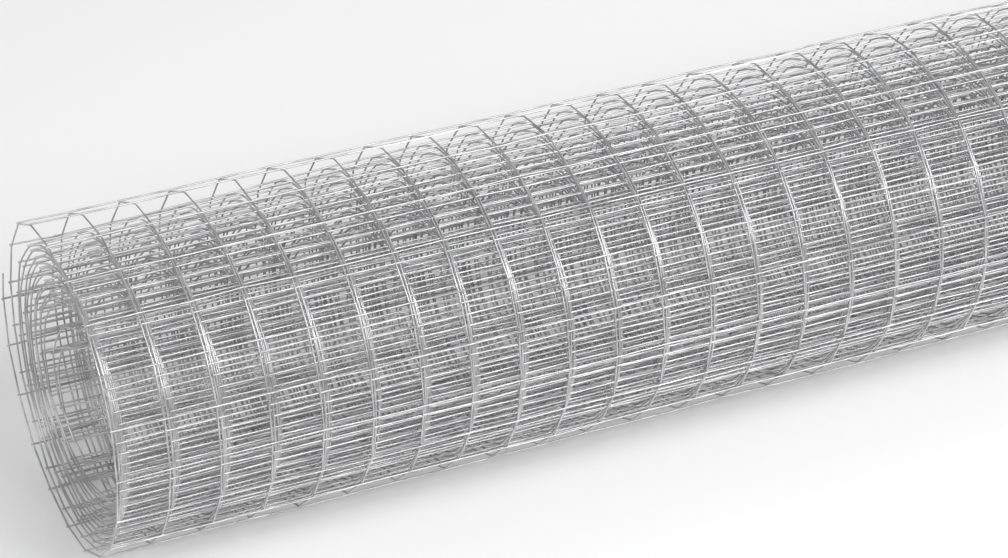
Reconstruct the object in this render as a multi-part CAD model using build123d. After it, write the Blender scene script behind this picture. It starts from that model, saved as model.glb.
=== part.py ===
"""Roll of welded wire fencing: one length of square mesh wound into a loose-ended roll.

The roll lies on the floor with its axis along X and its near end at -X. The wound mesh is one
band whose section is the winding itself: flat from one cross wire to the next, tight through
the wall of the roll, loose over the top of the outermost turn and loose inside the bore.
A plain grid of openings through the outer turns stands for the open square mesh.
"""
from build123d import *
import math
import os

# Mesh, in millimetres
MESH_WIDTH = 900.0
BAND = 1.2

# Tight wall: radii in millimetres, angles in degrees seen from the near end,
# 0 at the front, 90 on top, 180 at the back
OUTER_RADIUS = 77.0
TURN_PITCH = 2.46
TIGHT_TURNS = 12.36
FREE_EDGE_ANGLE = 171.0
CORNERS_PER_TURN = 16

# The bore is nearer the front and the floor than the outermost turn is
BORE_FORWARD = 4.5
BORE_DROP = 3.0

# The free edge springs off the turn below it
FREE_RISE = 4.5
FREE_SWEEP = 75.0

# Loose stretch of the outermost turn, over the top of the roll
LOOSE_RISE = 7.5
LOOSE_FROM = 82.0
LOOSE_TO = 190.0

# Loose coil inside the bore, lying on the wall below it
COIL_RADIUS = 36.5
COIL_PITCH = 2.6
COIL_SWEEP = 690.0
COIL_EASE = 330.0
COIL_DROP = 6.5
COIL_FORWARD = 1.5

# Plain grid of openings, cut through the outer turns only
OPEN_TURNS = 3
OPENINGS_ALONG = 12
RING_WIDTH = 12.0
OPENING_SHARE = 0.68
OPENING_REACH = 30.0


def ease(t):
    """Go smoothly from 0 to 1 as t goes from 0 to 1."""
    t = min(max(t, 0.0), 1.0)
    return t * t * (3 - 2 * t)


def winding(sweep):
    """Radius of the mesh, and its centre across and up, after this many degrees inwards."""
    inner = max(sweep - 360 * TIGHT_TURNS, 0)
    wall_sweep = sweep - inner
    radius = OUTER_RADIUS - TURN_PITCH * wall_sweep / 360
    depth = wall_sweep / (360 * TIGHT_TURNS)
    centre = Vector(-BORE_FORWARD * depth, -BORE_DROP * depth)
    loose = (sweep - (LOOSE_FROM + 360 - FREE_EDGE_ANGLE)) / (LOOSE_TO - LOOSE_FROM)
    if 0 < loose < 1:
        radius += LOOSE_RISE * math.sin(math.pi * loose) ** 2
    radius += FREE_RISE * (1 - ease(sweep / FREE_SWEEP))
    share = ease(inner / COIL_EASE)
    coil = COIL_RADIUS - COIL_PITCH * (inner / 360 - 1)
    radius += (coil - radius) * share
    return radius, centre + Vector(-COIL_FORWARD, -COIL_DROP) * share


def wound_corners():
    """Corners of the winding in the roll's cross section, from the free edge inwards."""
    corners = []
    step = 360 / CORNERS_PER_TURN
    for i in range(int((360 * TIGHT_TURNS + COIL_SWEEP) / step) + 1):
        radius, centre = winding(i * step)
        angle = math.radians(FREE_EDGE_ANGLE + i * step)
        corners.append(centre + Vector(-radius * math.cos(angle), radius * math.sin(angle)))
    return corners


def offset_side(corners, distance):
    """The line of corners moved sideways by this distance, mitred at each corner."""
    side = []
    for i, here in enumerate(corners):
        before = (here - corners[i - 1]).normalized() if i else None
        after = (corners[i + 1] - here).normalized() if i + 1 < len(corners) else None
        along = (before or after) + (after or before)
        along = along.normalized()
        across = Vector(-along.Y, along.X)
        lean = along.dot(before or after)
        side.append(here + across * (distance / lean))
    return side


def levelled(corners):
    """The corners turned about the axis until the facet under the roll lies flat."""
    first_turn = corners[:CORNERS_PER_TURN]
    under = min(range(len(first_turn) - 1), key=lambda i: corners[i].Y + corners[i + 1].Y)
    facet = corners[under + 1] - corners[under]
    tilt = math.degrees(math.atan(facet.Y / facet.X))
    return [corner.rotate(Axis.Z, -tilt) for corner in corners]


def opening_grid(corners):
    """Blocks that start in the gap under the outer turns and reach out past the rim."""
    pitch = MESH_WIDTH / OPENINGS_ALONG
    blocks = []
    for i in range(CORNERS_PER_TURN):
        last_open = i + CORNERS_PER_TURN * (OPEN_TURNS - 1)
        first_plain = last_open + CORNERS_PER_TURN
        facet = corners[last_open + 1] - corners[last_open]
        gap = [corners[k + j] for k in (last_open, first_plain) for j in (0, 1)]
        under = (gap[0] + gap[1] + gap[2] + gap[3]) * 0.25
        half = facet * (OPENING_SHARE / 2)
        outward = Vector(-facet.Y, facet.X).normalized() * OPENING_REACH
        foot = [under - half, under + half]
        section = Polyline(*foot, foot[1] + outward, foot[0] + outward, close=True)
        column = Plane.YZ * make_face(section)
        for k in range(OPENINGS_ALONG):
            start = -MESH_WIDTH / 2 + RING_WIDTH / 2 + k * pitch
            blocks.append(Pos(start, 0, 0) * extrude(column, pitch - RING_WIDTH, dir=(1, 0, 0)))
    return blocks


def mesh_roll():
    """The whole winding as one closed band, from the floor up and centred across the roll."""
    corners = levelled(wound_corners())
    outer = offset_side(corners, BAND / 2)
    inner = offset_side(corners, -BAND / 2)
    outline = outer + inner[::-1]
    low = min(p.Y for p in outline)
    middle = (min(p.X for p in outline) + max(p.X for p in outline)) / 2
    outline = [Vector(p.X - middle, p.Y - low) for p in outline]
    corners = [Vector(p.X - middle, p.Y - low) for p in corners]
    section = Plane.YZ * make_face(Polyline(*outline, close=True))
    length = sum((b - a).length for a, b in zip(corners, corners[1:]))
    print("mesh wound into the roll:", round(length / 1000, 2), "m")
    print("axis is", round(-middle, 2), "across and", round(-low, 2), "up, in millimetres")
    band = Pos(-MESH_WIDTH / 2, 0, 0) * extrude(section, MESH_WIDTH, dir=(1, 0, 0))
    return band.cut(*opening_grid(corners))


os.makedirs("parts", exist_ok=True)
export_step(mesh_roll(), "parts/mesh_roll.step")
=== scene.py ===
# %% [markdown]
# A roll of welded wire fencing
#
# The real thing is one long sheet of welded mesh, wound up. Thin line wires run along the
# sheet, cross wires lie over them at every cell, and each crossing is a small weld. Rolling it
# up bends the line wires at every cross wire, so each turn is a polygon, not a circle.
# The lesson makes the sheet flat first, the way the factory does, and then winds it.

# %% Load the frame
import math
import bpy
import numpy as np
from mathutils import Matrix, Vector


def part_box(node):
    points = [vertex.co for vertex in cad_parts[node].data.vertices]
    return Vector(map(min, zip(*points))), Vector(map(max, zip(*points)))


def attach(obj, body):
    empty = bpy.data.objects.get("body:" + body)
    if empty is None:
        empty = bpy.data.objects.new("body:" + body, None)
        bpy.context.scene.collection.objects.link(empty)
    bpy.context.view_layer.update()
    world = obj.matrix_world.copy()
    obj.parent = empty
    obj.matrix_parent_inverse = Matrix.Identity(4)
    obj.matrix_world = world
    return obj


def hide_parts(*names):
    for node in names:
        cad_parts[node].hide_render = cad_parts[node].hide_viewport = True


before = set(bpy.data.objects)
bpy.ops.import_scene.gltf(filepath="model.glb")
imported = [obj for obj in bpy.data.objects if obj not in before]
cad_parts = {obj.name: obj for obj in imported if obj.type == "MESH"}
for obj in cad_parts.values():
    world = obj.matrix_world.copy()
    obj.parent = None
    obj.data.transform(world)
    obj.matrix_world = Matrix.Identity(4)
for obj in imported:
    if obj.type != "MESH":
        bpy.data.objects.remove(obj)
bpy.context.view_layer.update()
low, high = (np.array(corner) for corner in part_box("mesh_roll"))
roll_length = high[0] - low[0]
print("the roll's box:", np.round(high - low, 4))

# %% [markdown]
# Sizes of the mesh
#
# Everything about the sheet follows from three sizes: the wire, the cell and the width. The
# width is read from the frame. FREE_STUB is how far, in cells, the line wires stick out past the
# first cross wire, and END_STUB how far, in metres, a cross wire sticks out past the last line
# wire. The sizes of a weld are in wires: WELD_SINK is how deep the two wires are pressed into
# each other.

# %% Sizes of the mesh
WIRE = 0.0009
CELL = 0.025
CELLS_ACROSS = round(roll_length / CELL)
SEGMENTS_PER_CELL = 3
FREE_STUB = 2 / SEGMENTS_PER_CELL
WIRE_SIDES = 6
WELD_SINK = 0.25
WELD_RADIUS, WELD_HEIGHT = 0.72, 0.75
END_STUB = 0.0008
print("cells across:", CELLS_ACROSS)

# %% [markdown]
# The winding
#
# Wound up, the sheet follows a spiral: from the free edge at the back, over twelve tight turns,
# to a loose coil of two turns that lies low in the bore. The outermost turn has sprung open over
# the top, all along the roll. At the near end the turns under it are tight, and further along
# they have loosened too, each less than the one above. The spiral is needed first, because its
# length says how much sheet there is to make.
#
# Lengths are in metres. Angles are in degrees, seen from the near end: 0 at the front, 90 on top
# and 180 at the back. The sweep counts degrees from the free edge inwards.

# %% The spiral
OUTER_RADIUS = 0.0772
TURN_PITCH = 0.00244
TIGHT_TURNS = 12.36
FREE_EDGE_ANGLE = 171.0
BORE_FORWARD, BORE_DROP = 0.0045, 0.0030
FREE_RISE, FREE_SWEEP = 0.0045, 75.0
LOOSE_FROM, LOOSE_TO = 82.0, 190.0
LOOSE_FAR, LOOSE_NEAR, LOOSE_REACH = 0.0084, 0.0008, 0.10
UNDER_RISE, UNDER_REACH, UNDER_TURNS = 0.0085, 0.20, 5
COIL_RADIUS, COIL_PITCH = 0.0365, 0.0026
COIL_SWEEP, COIL_EASE = 690.0, 330.0
COIL_FORWARD, COIL_DROP = 0.0010, 0.0080


def ease(t):
    """Go smoothly from 0 to 1 as t goes from 0 to 1."""
    t = np.clip(t, 0, 1)
    return t * t * (3 - 2 * t)


def winding(sweep, along_roll):
    """Radius of the mesh and its centre across and up, after this many degrees inwards."""
    inner = np.maximum(sweep - 360 * TIGHT_TURNS, 0)
    wall_sweep = sweep - inner
    radius = OUTER_RADIUS - TURN_PITCH * wall_sweep / 360
    depth = wall_sweep / (360 * TIGHT_TURNS)
    past_first = sweep - (LOOSE_FROM + 360 - FREE_EDGE_ANGLE)
    under = np.floor(past_first / 360)
    loose = (past_first - 360 * under) / (LOOSE_TO - LOOSE_FROM)
    from_near = along_roll + roll_length / 2
    outermost = LOOSE_FAR + LOOSE_NEAR * np.exp(-from_near / LOOSE_REACH)
    fading = np.clip(1 - (under - 1) / UNDER_TURNS, 0, 1)
    deeper = UNDER_RISE * (1 - np.exp(-from_near / UNDER_REACH)) * fading
    rise = np.where(under < 0, 0, np.where(under < 1, outermost, deeper))
    radius = radius + rise * np.sin(np.pi * np.clip(loose, 0, 1)) ** 2
    radius = radius + FREE_RISE * (1 - ease(sweep / FREE_SWEEP))
    share = ease(inner / COIL_EASE)
    coil = COIL_RADIUS - COIL_PITCH * (inner / 360 - 1)
    across = -BORE_FORWARD * depth - COIL_FORWARD * share
    up = -BORE_DROP * depth - COIL_DROP * share
    return radius + (coil - radius) * share, across, up


def on_spiral(sweep, along_roll):
    """Place across and up of the sheet after this many degrees, and the way outwards there."""
    radius, across, up = winding(sweep, along_roll)
    angle = np.radians(FREE_EDGE_ANGLE + sweep)
    outward = np.stack([-np.cos(angle), np.sin(angle)], -1)
    return np.stack([across, up], -1) + outward * radius[:, None], outward


SPIRAL_STEPS = 20000
JUST_UNDER = 0.001
sweeps = np.linspace(0, 360 * TIGHT_TURNS + COIL_SWEEP, SPIRAL_STEPS)
path, _ = on_spiral(sweeps, 0.0)
lengths = np.concatenate([[0], np.cumsum(np.hypot(*np.diff(path, axis=0).T))])
print("length of the spiral:", round(lengths[-1], 3), "m")

# %% [markdown]
# How the turns lie over each other
#
# Where the cross wires of many turns happen to line up, a roll looks like a coarse cage. In a
# real roll they fall all over the cell. Here each turn has its cross wires a fifth of a cell
# further on than the turn above, where the roll faces the viewer. The step is made up on the
# far side, where cells come out up to a fifth longer or a ninth shorter for it.

# %% Spread the cross wires
FACING, FACING_SHARE = 43.0, 0.2
TURN_STEP = 0.204
facing = np.arange((FACING - FREE_EDGE_ANGLE) % 360, sweeps[-1], 360)
reached = np.interp(facing, sweeps, lengths)
wanted = reached[0] + TURN_STEP * CELL * np.arange(len(facing))
shift = (wanted - reached + CELL / 2) % CELL - CELL / 2
turns_on = np.clip((sweeps - facing[0]) / 360, 0, len(facing) - 1 - JUST_UNDER)
turn_now = turns_on.astype(int)
move_on = ease((turns_on - turn_now - FACING_SHARE) / (1 - 2 * FACING_SHARE))
lengths = lengths + shift[turn_now] + (shift[turn_now + 1] - shift[turn_now]) * move_on
SHEET_CELLS = int(lengths[-1] / CELL)
print("sheet length:", round(lengths[-1], 3), "m, cells:", SHEET_CELLS)

# %% [markdown]
# Tools for the bench
#
# Operators act on whatever is selected, and the frame's own parts come in selected. So every
# step starts with a clear selection, and every modifier is applied straight away: what is left
# is a plain mesh, and the next step can count on it.

# %% Bench tools
TOUCHING = WIRE / 100


def clear_selection():
    if bpy.context.object and bpy.context.object.mode != "OBJECT":
        bpy.ops.object.mode_set(mode="OBJECT")
    bpy.ops.object.select_all(action="DESELECT")


def pick(piece):
    clear_selection()
    piece.select_set(True)
    bpy.context.view_layer.objects.active = piece


def name_new(name):
    piece = bpy.context.object
    piece.name = name
    piece.data.name = name
    return piece


def repeat(piece, count, step, merge=True):
    """Copies of the piece in a row, each joined to the next where they touch."""
    pick(piece)
    row = piece.modifiers.new("row", "ARRAY")
    row.count = count
    row.use_relative_offset = False
    row.use_constant_offset = True
    row.constant_offset_displace = step
    row.use_merge_vertices = merge
    row.merge_threshold = TOUCHING
    bpy.ops.object.modifier_apply(modifier=row.name)


def close_ends(piece):
    """Caps on the open ends of every wire in the piece."""
    pick(piece)
    bpy.ops.object.mode_set(mode="EDIT")
    bpy.ops.mesh.select_all(action="DESELECT")
    bpy.ops.mesh.select_mode(type="EDGE")
    bpy.ops.mesh.select_non_manifold()
    bpy.ops.mesh.edge_face_add()
    bpy.ops.mesh.select_all(action="SELECT")
    bpy.ops.mesh.normals_make_consistent(inside=False)
    bpy.ops.object.mode_set(mode="OBJECT")


def triangles(piece):
    return sum(len(face.vertices) - 2 for face in piece.data.polygons)


# %% [markdown]
# The line wires, flat
#
# A line wire is a long round bar. One short tube is enough to start with: a ring of six points,
# extruded by a third of a cell. An Array modifier runs it along the sheet and merges the joints,
# and a second one lays the wires side by side. Three segments to a cell let the wire stay
# straight between two cross wires and kink at them, which is what rolling does to it.

# %% Flat line wires
def flat_line_wires(name, first, count):
    """Line wires along X, the first of them this many cells in from the near end."""
    step = CELL / SEGMENTS_PER_CELL
    across = (first - CELLS_ACROSS / 2) * CELL
    start = -FREE_STUB * CELL
    clear_selection()
    bpy.ops.mesh.primitive_circle_add(vertices=WIRE_SIDES, radius=WIRE / 2,
                                      location=(0, 0, 0))
    wire = name_new(name)
    pick(wire)
    bpy.ops.object.mode_set(mode="EDIT")
    bpy.ops.mesh.select_all(action="SELECT")
    bpy.ops.transform.rotate(value=math.pi / 2, orient_axis="Y", center_override=(0, 0, 0))
    bpy.ops.transform.translate(value=(start, across, 0))
    bpy.ops.mesh.extrude_region_move(TRANSFORM_OT_translate={"value": (step, 0, 0)})
    bpy.ops.object.mode_set(mode="OBJECT")
    repeat(wire, SHEET_CELLS * SEGMENTS_PER_CELL, (step, 0, 0))
    close_ends(wire)
    repeat(wire, count, (0, CELL, 0), merge=False)
    return wire


near_count = (CELLS_ACROSS + 1) // 2
line_near = flat_line_wires("line_wires_near", 0, near_count)
line_far = flat_line_wires("line_wires_far", near_count, CELLS_ACROSS + 1 - near_count)
print("line wires:", near_count, "and", CELLS_ACROSS + 1 - near_count,
      "with", triangles(line_near), "and", triangles(line_far), "triangles")

# %% [markdown]
# The cross wires, flat
#
# Cross wires are cut to the width of the sheet and stick out a little past the last line wire
# on each side. They lie on the outside of the roll, pressed a quarter of a wire into the line
# wires by the welding.

# %% Flat cross wires
AT_THE_END = WIRE / 10


def flat_cross_wires():
    height = WIRE * (1 - WELD_SINK)
    half = CELLS_ACROSS * CELL / 2
    clear_selection()
    bpy.ops.mesh.primitive_circle_add(vertices=WIRE_SIDES, radius=WIRE / 2,
                                      location=(0, 0, 0))
    wire = name_new("cross_wires")
    pick(wire)
    bpy.ops.object.mode_set(mode="EDIT")
    bpy.ops.mesh.select_all(action="SELECT")
    bpy.ops.transform.rotate(value=math.pi / 2, orient_axis="X", center_override=(0, 0, 0))
    bpy.ops.transform.translate(value=(0, -half, height))
    bpy.ops.mesh.extrude_region_move(TRANSFORM_OT_translate={"value": (0, CELL, 0)})
    bpy.ops.object.mode_set(mode="OBJECT")
    repeat(wire, CELLS_ACROSS, (0, CELL, 0))
    bpy.ops.object.mode_set(mode="EDIT")
    for side in (-1, 1):
        bpy.ops.mesh.select_all(action="DESELECT")
        bpy.ops.object.mode_set(mode="OBJECT")
        for vertex in wire.data.vertices:
            vertex.select = abs(vertex.co.y - side * half) < AT_THE_END
        bpy.ops.object.mode_set(mode="EDIT")
        bpy.ops.mesh.select_mode(type="VERT")
        bpy.ops.transform.translate(value=(0, side * END_STUB, 0))
    bpy.ops.object.mode_set(mode="OBJECT")
    close_ends(wire)
    repeat(wire, SHEET_CELLS, (CELL, 0, 0), merge=False)
    return wire


cross = flat_cross_wires()
print("cross wires:", SHEET_CELLS, "with", triangles(cross), "triangles")

# %% [markdown]
# The welds, flat
#
# Where two wires cross, the weld has squeezed a little metal out between them. A small ball,
# flattened and set between the two wires, is enough at this size, and it is copied to every
# crossing with two arrays.

# %% Flat welds
def flat_welds():
    clear_selection()
    bpy.ops.mesh.primitive_ico_sphere_add(subdivisions=1, radius=WIRE * WELD_RADIUS,
                                          location=(0, 0, 0))
    weld = name_new("welds")
    pick(weld)
    bpy.ops.object.mode_set(mode="EDIT")
    bpy.ops.mesh.select_all(action="SELECT")
    bpy.ops.transform.resize(value=(1, 1, WELD_HEIGHT), center_override=(0, 0, 0))
    middle = WIRE * (1 - WELD_SINK) / 2
    bpy.ops.transform.translate(value=(0, -CELLS_ACROSS * CELL / 2, middle))
    bpy.ops.object.mode_set(mode="OBJECT")
    repeat(weld, CELLS_ACROSS + 1, (0, CELL, 0), merge=False)
    repeat(weld, SHEET_CELLS, (CELL, 0, 0), merge=False)
    return weld


welds = flat_welds()
print("welds:", (CELLS_ACROSS + 1) * SHEET_CELLS, "with", triangles(welds), "triangles")

# %% [markdown]
# Unevenness
#
# No roll is perfect. Every crossing is off its place by about a quarter of a wire each way, and
# both wires that meet there share it, so nothing comes apart. A slower unevenness lifts and
# shifts stretches of the sheet about a third of a turn long, over the whole width. The seed is
# fixed, so the roll comes out the same each time.

# %% Unevenness of the sheet
WANDER = 0.00022
SLACK, CREEP_SLACK, SLACK_STEP = 0.00025, 0.00070, 130.0
ROUNDING = 1e-6
SEED = 7
dice = np.random.RandomState(SEED)
wander = dice.normal(0, WANDER, (3, SHEET_CELLS + 2, CELLS_ACROSS + 1))
slack = dice.normal(0, 1, (2, int(sweeps[-1] / SLACK_STEP) + 2))
slack *= np.array([[SLACK], [CREEP_SLACK]])


def uneven(field, cell, row):
    """The field's value between the crossings round this place on the sheet."""
    cell = np.clip(cell, 0, SHEET_CELLS + 1 - JUST_UNDER)
    row = np.clip(row, 0, CELLS_ACROSS - ROUNDING)
    i, j = cell.astype(int), row.astype(int)
    u, v = cell - i, row - j
    near = field[i, j] * (1 - v) + field[i, j + 1] * v
    far = field[i + 1, j] * (1 - v) + field[i + 1, j + 1] * v
    return near * (1 - u) + far * u


def slow(field, sweep):
    """The field's value at this sweep, passing smoothly from one of its steps to the next."""
    step = np.clip(sweep / SLACK_STEP, 0, len(field) - 1 - JUST_UNDER)
    i = step.astype(int)
    return field[i] + (field[i + 1] - field[i]) * ease(step - i)


print("uneven by up to", round(np.abs(wander).max(), 5), "m at a crossing")

# %% [markdown]
# Creep and flatness
#
# The turns creep along the roll, fast at first and then evenly, and a little more at the front
# than at the back, so the near end is slightly hollow. In the outermost turn the line wires stay
# nearly straight from one cross wire to the next and kink where they are welded. Deeper turns
# are pressed rounder.

# %% Creep and flatness of the turns
FIRST_CREEP, FIRST_CREEP_TURNS = 0.0050, 2.2
TURN_CREEP, TILT_CREEP, CREEP_START = 0.00054, 0.00034, -0.0040
COIL_CREEP = 0.0015
OUTER_FLATNESS, WALL_FLATNESS = 0.95, 0.45
FLAT_TURNS, FLAT_EASE = 1.0, 0.6


def creep_along(sweep):
    """How far along the roll the sheet has crept after this many degrees."""
    turn = sweep / 360
    creep = CREEP_START + FIRST_CREEP * (1 - np.exp(-turn / FIRST_CREEP_TURNS))
    wall_turn = np.minimum(turn, TIGHT_TURNS)
    tilt = TILT_CREEP * np.cos(np.radians(FREE_EDGE_ANGLE + sweep))
    creep = creep + (TURN_CREEP + tilt) * wall_turn + slow(slack[1], sweep)
    return creep + COIL_CREEP * ease((turn - TIGHT_TURNS) * 360 / COIL_EASE)


def flatness(turn, corner):
    """How straight a line wire runs between two cross wires: 1 is straight, 0 is round."""
    flat = WALL_FLATNESS + (OUTER_FLATNESS - WALL_FLATNESS) * (
        1 - ease((turn - FLAT_TURNS) / FLAT_EASE))
    return np.where((corner < 0) | (corner >= SHEET_CELLS - 1), 0, flat)


print("creep from the first turn to the last:", np.round(creep_along(sweeps[[0, -1]]), 4), "m")

# %% [markdown]
# Winding it up
#
# A Curve modifier would bend the sheet round the spiral, but it can't let the turns lie looser at
# one end of the roll than at the other, nor let each turn creep a little along the roll. So
# each point is moved by formula: its distance along the sheet gives its place on the spiral.

# %% Wind each flat piece
def wind(piece):
    """Move every point of a flat piece to its place in the roll, and give the lowest of them."""
    mesh = piece.data
    points = np.empty(len(mesh.vertices) * 3)
    mesh.vertices.foreach_get("co", points)
    points = points.reshape(-1, 3)
    cell = points[:, 0] / CELL + 1
    row = points[:, 1] / CELL + CELLS_ACROSS / 2
    points = points + np.stack([uneven(field, cell, row) for field in wander], -1)
    along, across, height = points.T
    corner = np.floor(along / CELL + ROUNDING)
    share = along / CELL - corner

    def sweep_at(distance):
        return np.interp(distance + FREE_STUB * CELL, lengths, sweeps)

    sweep = sweep_at(along)
    here, outward = on_spiral(sweep, across)
    before, _ = on_spiral(sweep_at(corner * CELL), across)
    after, _ = on_spiral(sweep_at((corner + 1) * CELL), across)
    chord = before + (after - before) * share[:, None]
    flat = flatness(sweep / 360, corner)
    height = height + slow(slack[0], sweep)
    place = here + (chord - here) * flat[:, None] + outward * height[:, None]
    wound = np.stack([across + creep_along(sweep), place[:, 0], place[:, 1]], -1)
    mesh.vertices.foreach_set("co", wound.ravel())
    mesh.update()
    return wound[:, 2].min()


wires = [line_near, line_far, cross, welds]
lowest = min(wind(piece) for piece in wires)
print("lowest wire under the axis:", round(lowest, 4))

# %% [markdown]
# Down on the floor
#
# The winding was made round its own axis. The lowest wire says how high that axis has to be for
# the roll to touch the floor, and the frame's roll says how far it lies from the middle.

# %% Set the roll down on the floor
AXIS_ACROSS = -0.00272
SMOOTH_ANGLE = math.radians(70)
axis = np.array([0.0, AXIS_ACROSS, -lowest])
for piece in wires:
    pick(piece)
    bpy.ops.object.mode_set(mode="EDIT")
    bpy.ops.mesh.select_all(action="SELECT")
    bpy.ops.transform.translate(value=axis)
    bpy.ops.object.mode_set(mode="OBJECT")
    bpy.ops.object.shade_smooth_by_angle(angle=SMOOTH_ANGLE)
print("the roll's axis runs at", np.round(axis, 4))

# %% [markdown]
# Galvanised wire
#
# Hot zinc leaves wire a dull pale grey, neither mirror nor paint: a metal with a broad
# highlight, a little patchy where the zinc lay thicker. One material is enough, and its
# patches come from noise in object space, so they run on from wire to wire.

# %% Galvanised zinc
THIN_ZINC, THICK_ZINC = (0.46, 0.46, 0.47, 1), (0.72, 0.71, 0.715, 1)
PATCH_SCALE, PATCH_DETAIL, PATCH_SPAN = 90, 4, (0.35, 0.68)
ZINC_METAL, ZINC_ROUGHNESS = 0.75, 0.38


def galvanised():
    zinc = bpy.data.materials.new("galvanised_zinc")
    zinc.use_nodes = True
    nodes, links = zinc.node_tree.nodes, zinc.node_tree.links
    finish = nodes["Principled BSDF"]
    place = nodes.new("ShaderNodeTexCoord")
    noise = nodes.new("ShaderNodeTexNoise")
    noise.inputs["Scale"].default_value = PATCH_SCALE
    noise.inputs["Detail"].default_value = PATCH_DETAIL
    links.new(place.outputs["Object"], noise.inputs["Vector"])
    tint = nodes.new("ShaderNodeValToRGB")
    for stop, place_on_ramp, colour in zip(tint.color_ramp.elements, PATCH_SPAN,
                                           (THIN_ZINC, THICK_ZINC)):
        stop.position = place_on_ramp
        stop.color = colour
    links.new(noise.outputs["Fac"], tint.inputs["Fac"])
    links.new(tint.outputs["Color"], finish.inputs["Base Color"])
    finish.inputs["Metallic"].default_value = ZINC_METAL
    finish.inputs["Roughness"].default_value = ZINC_ROUGHNESS
    return zinc


zinc = galvanised()
for piece in wires:
    piece.data.materials.clear()
    piece.data.materials.append(zinc)
    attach(piece, "root")
    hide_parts("mesh_roll")
print("finish on", len(wires), "pieces")

# %% [markdown]
# The floor
#
# The roll lies on white paper. A share of plain white in the paper's material helps it to look
# white without more light on the roll, and it still shows the roll's shadow.

# %% White floor
FLOOR_SIZE = 14
PAPER, PAPER_ROUGHNESS, PAPER_GLOW = (0.9, 0.9, 0.9, 1), 0.9, 0.15
clear_selection()
bpy.ops.mesh.primitive_plane_add(size=FLOOR_SIZE, location=(0, 0, 0))
floor = name_new("floor")


def white_paper(glow):
    """White paper that also shows this share of plain white wherever it is seen."""
    paper = bpy.data.materials.new("floor_paper")
    paper.use_nodes = True
    nodes, links = paper.node_tree.nodes, paper.node_tree.links
    nodes["Principled BSDF"].inputs["Base Color"].default_value = PAPER
    nodes["Principled BSDF"].inputs["Roughness"].default_value = PAPER_ROUGHNESS
    light_path = nodes.new("ShaderNodeLightPath")
    seen = nodes.new("ShaderNodeMath")
    seen.operation = "MAXIMUM"
    links.new(light_path.outputs["Is Camera Ray"], seen.inputs[0])
    links.new(light_path.outputs["Is Glossy Ray"], seen.inputs[1])
    share = nodes.new("ShaderNodeMath")
    share.operation = "MULTIPLY"
    share.inputs[1].default_value = glow
    links.new(seen.outputs["Value"], share.inputs[0])
    white = nodes.new("ShaderNodeEmission")
    white.inputs["Strength"].default_value = 1.0
    mix = nodes.new("ShaderNodeMixShader")
    links.new(share.outputs["Value"], mix.inputs["Fac"])
    links.new(nodes["Principled BSDF"].outputs["BSDF"], mix.inputs[1])
    links.new(white.outputs["Emission"], mix.inputs[2])
    links.new(mix.outputs["Shader"], nodes["Material Output"].inputs["Surface"])
    return paper


floor.data.materials.append(white_paper(PAPER_GLOW))
print("floor is", FLOOR_SIZE, "m wide")

# %% [markdown]
# The light
#
# Three broad lamps and a dim white world light the roll. A wire shines where a lamp stands in
# the camera's mirror image, and for a long round wire that is a whole ring of directions. The
# key lamp does it for the cross wires and for the middle of the roll, the back lamp for its top.

# %% World and lamps
WORLD_LIGHT = 0.22
world = bpy.data.worlds.new("studio")
world.use_nodes = True
world.node_tree.nodes["Background"].inputs["Color"].default_value = (1, 1, 1, 1)
world.node_tree.nodes["Background"].inputs["Strength"].default_value = WORLD_LIGHT
bpy.context.scene.world = world


def soft_lamp(name, place, size, power):
    clear_selection()
    bpy.ops.object.light_add(type="AREA", location=place)
    lamp = bpy.context.object
    lamp.name = name
    lamp.data.size = size
    lamp.data.energy = power
    aim = -np.array(place)
    lamp.rotation_euler = (math.acos(-aim[2] / np.linalg.norm(aim)), 0,
                           math.atan2(aim[1], aim[0]) - math.pi / 2)
    return lamp


soft_lamp("key_lamp", place=(0.8, -1.5, 1.9), size=1.5, power=54)
soft_lamp("side_lamp", place=(-1.4, -1.0, 1.7), size=1.2, power=18)
soft_lamp("back_lamp", place=(0.8, 1.0, 2.2), size=2.2, power=13)

# %% [markdown]
# The camera
#
# The camera stands in front of the near end, well above it, with a long lens, and is tilted a
# little. The roll runs out of the picture on the right. The focal length and the shift of the
# view are in pixels of the picture, and AIM_DEPTH is how far past the near end the camera aims.

# %% Camera
AZIMUTH, ELEVATION, CAMERA_ROLL = -26.79, 39.51, 4.17
DISTANCE = 1.901
FOCAL_PIXELS, PHOTO_WIDTH, SENSOR = 3918.0, 1008.0, 36.0
AIM_DEPTH = 0.2208
VIEW_SHIFT = (4.1, 11.6)
VIEW_END = 50

azimuth, elevation = math.radians(AZIMUTH), math.radians(ELEVATION)
forward = np.array([-math.sin(azimuth) * math.cos(elevation),
                    math.cos(azimuth) * math.cos(elevation), -math.sin(elevation)])
target = axis + np.array([-roll_length / 2 + AIM_DEPTH, 0, 0])
clear_selection()
bpy.ops.object.camera_add(location=target - forward * DISTANCE)
camera = bpy.context.object
camera.rotation_mode = "XYZ"
view_turn = (Matrix.Rotation(azimuth, 4, "Z") @ Matrix.Rotation(math.pi / 2 - elevation, 4, "X")
             @ Matrix.Rotation(math.radians(CAMERA_ROLL), 4, "Z"))
camera.rotation_euler = view_turn.to_euler()
camera.data.lens = FOCAL_PIXELS / PHOTO_WIDTH * SENSOR
camera.data.sensor_width = SENSOR
camera.data.shift_x = VIEW_SHIFT[0] / PHOTO_WIDTH
camera.data.shift_y = VIEW_SHIFT[1] / PHOTO_WIDTH
camera.data.clip_end = VIEW_END
bpy.context.scene.camera = camera
bpy.context.scene.view_settings.view_transform = "Standard"
print("camera at", np.round(target - forward * DISTANCE, 3))
